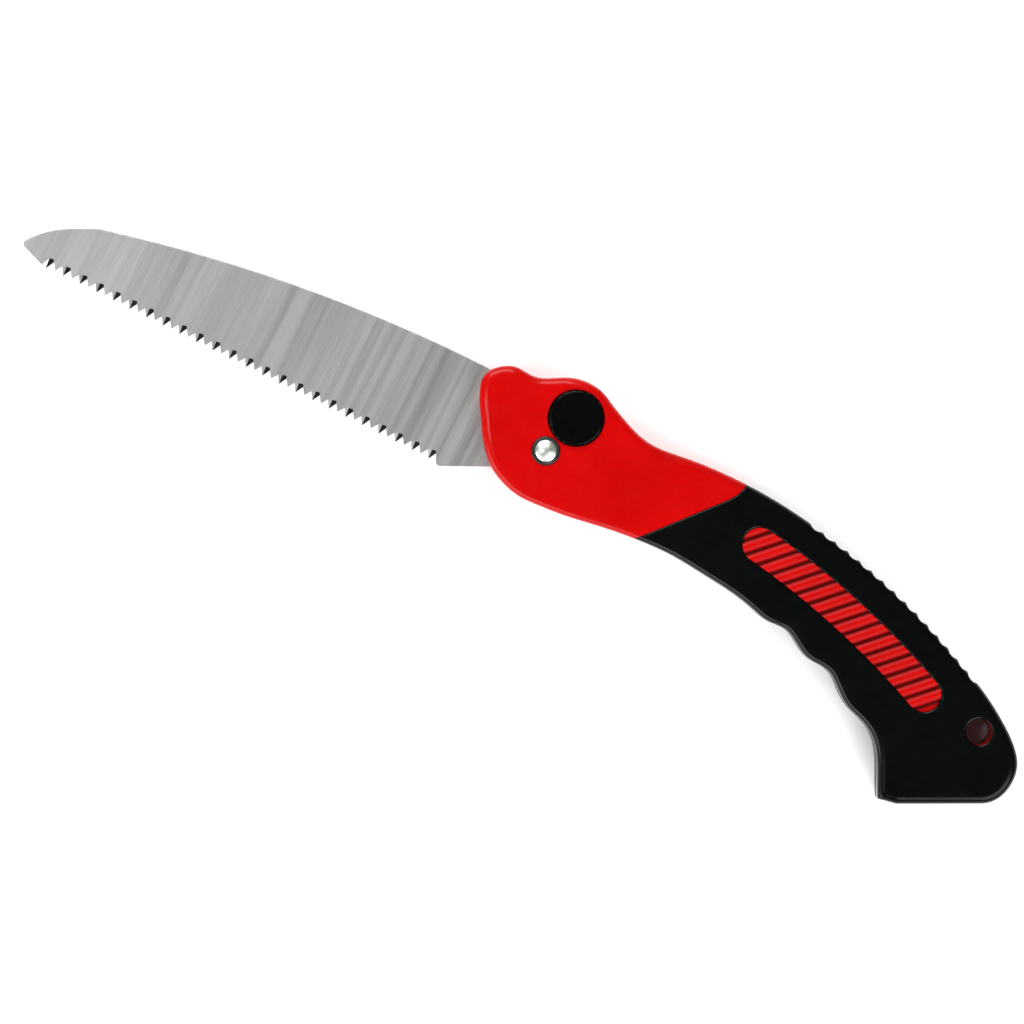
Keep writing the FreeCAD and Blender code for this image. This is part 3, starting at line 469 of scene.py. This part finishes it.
class Plate:
    """Collects the saw plate's corners and faces, one side after the other."""

    def __init__(self):
        self.corners = []
        self.faces = []
        self.dark = []

    def corner(self, x, y, z):
        self.corners.append((x, y, z))
        return len(self.corners) - 1

    def face(self, ids, upper, dark=False):
        self.faces.append(ids if upper else ids[::-1])
        self.dark.append(dark)

    def side(self, loops, level, upper, thin_level, tips, insets):
        """One face of the blade, with its share of the teeth ground down. Gives its rim."""
        inwards = -1.0 if upper else 1.0
        rim_ids = []
        flat_loops = []
        for number, loop in enumerate(loops):
            ids = []
            for k, (x, y) in enumerate(loop):
                z = level
                if number == 0 and k in tips:
                    z = thin_level
                if number == 0 and k in insets:
                    z = level + inwards * BEVEL_DEEP
                ids.append(self.corner(x, y, z))
            flat = []
            for k, (x, y) in enumerate(loop):
                following = (k + 1) % len(loop)
                if number == 0 and k in tips:
                    flat += self.facets(ids[k - 1], ids[k], ids[following], level, upper)
                elif number == 0 and k in insets:
                    flat.append(self.corner(*insets[k], level))
                else:
                    flat.append(ids[k])
            rim_ids.append(ids)
            flat_loops.append(flat)
        self.bevels(rim_ids[0], flat_loops[0], len(loops[0]), insets, tips, upper)
        order = [corner for flat in flat_loops for corner in flat]
        outlines = [[Vector(self.corners[corner]) for corner in flat] for flat in flat_loops]
        for triangle in tessellate_polygon(outlines):
            ids = [order[k] for k in triangle]
            a, b, c = [Vector(self.corners[corner]) for corner in ids]
            clockwise = (b - a).cross(c - a).z < 0
            self.face(ids[::-1] if clockwise else ids, upper)
        return rim_ids

    def facets(self, left, tip, right, level, upper):
        """Grinds one tooth: a short facet on its left and a long blued one on its right."""
        tip_x = self.corners[tip][0]
        gullet_y = self.corners[right][1]
        high_left = self.corner(tip_x + FACET_LEFT[0], gullet_y + FACET_LEFT[1], level)
        high_right = self.corner(tip_x + FACET_RIGHT[0], gullet_y + FACET_RIGHT[1], level)
        self.face([left, tip, high_left], upper)
        self.face([high_left, tip, high_right], upper, True)
        self.face([high_right, tip, right], upper, True)
        return [high_left, high_right]

    def bevels(self, rim, flat, count, insets, tips, upper):
        """Narrow slope between the rim of the spine and the flat of the plate."""
        place = {}
        at = 0
        for k in range(count):
            place[k] = flat[at]
            at += 2 if k in tips else 1
        for k in insets:
            following = (k + 1) % count
            if following in insets:
                self.face([rim[k], rim[following], place[following], place[k]], upper)
            else:
                self.face([rim[k], rim[following], place[k]], upper)
            if (k - 1) % count not in insets:
                self.face([rim[k - 1], rim[k], place[k]], upper)


def make_blade():
    """The saw plate with a bevelled spine and teeth ground from both faces by turns."""
    loops = rims("saw_blade")
    low, high = [corner.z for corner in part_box("saw_blade")]
    tips = tooth_tips(loops[0])
    insets = spine_insets(loops[0])
    plate = Plate()
    front = plate.side(loops, high, True, low + TIP_THICK, tips[0::2], insets)
    back = plate.side(loops, low, False, high - TIP_THICK, tips[1::2], insets)
    for above, below in zip(front, back):
        for k in range(len(above)):
            following = (k + 1) % len(above)
            plate.face([below[k], below[following], above[following], above[k]], True)
    mesh = bpy.data.meshes.new("blade_plate")
    mesh.from_pydata(plate.corners, [], plate.faces)
    piece = bpy.data.objects.new("blade_plate", mesh)
    bpy.context.collection.objects.link(piece)
    paint(piece, "blade_steel")
    mesh.materials.append(HARDENED)
    mesh.polygons.foreach_set("material_index", [int(dark) for dark in plate.dark])
    settle(piece, "saw_blade")


def make_leaf():
    """The lock's spring leaf, a welded copy with a mesh of its own. The real leaf flattens by the
    button's travel when it is pressed.
    """
    piece = stand_in("lock_spring", "lock_spring_shown")
    paint(piece, SLOTS["lock_spring"])
    settle(piece, "lock_spring")
    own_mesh(piece)


# ---------------------------------------------------------------- build

place_camera()
place_floor()
place_world()
place_light("key", (-0.85, 1.00, 0.95), 1.1, 1.0, 38.0)
place_light("fill", (1.10, -0.55, 1.0), 1.2, 1.0, 26.0)
place_light("low", (-0.45, -1.20, 0.45), 1.6, 0.4, 22.0)
place_light("strip", (-0.75, -0.35, 1.8), 0.12, 0.9, 6.0)

for node, part in NODES.items():
    paint(part, SLOTS[node])

softened("front_grip", "front_grip_rubber")
softened("rear_grip", "rear_grip_rubber")
for node in ("front_shell", "rear_shell", "front_rib_inlay", "rear_rib_inlay", "button_cap",
             "pivot_bolt", "pivot_collar"):
    piece = stand_in(node, node + "_shown")
    paint(piece, SLOTS[node])
    settle(piece, node)

make_blade()
make_leaf()
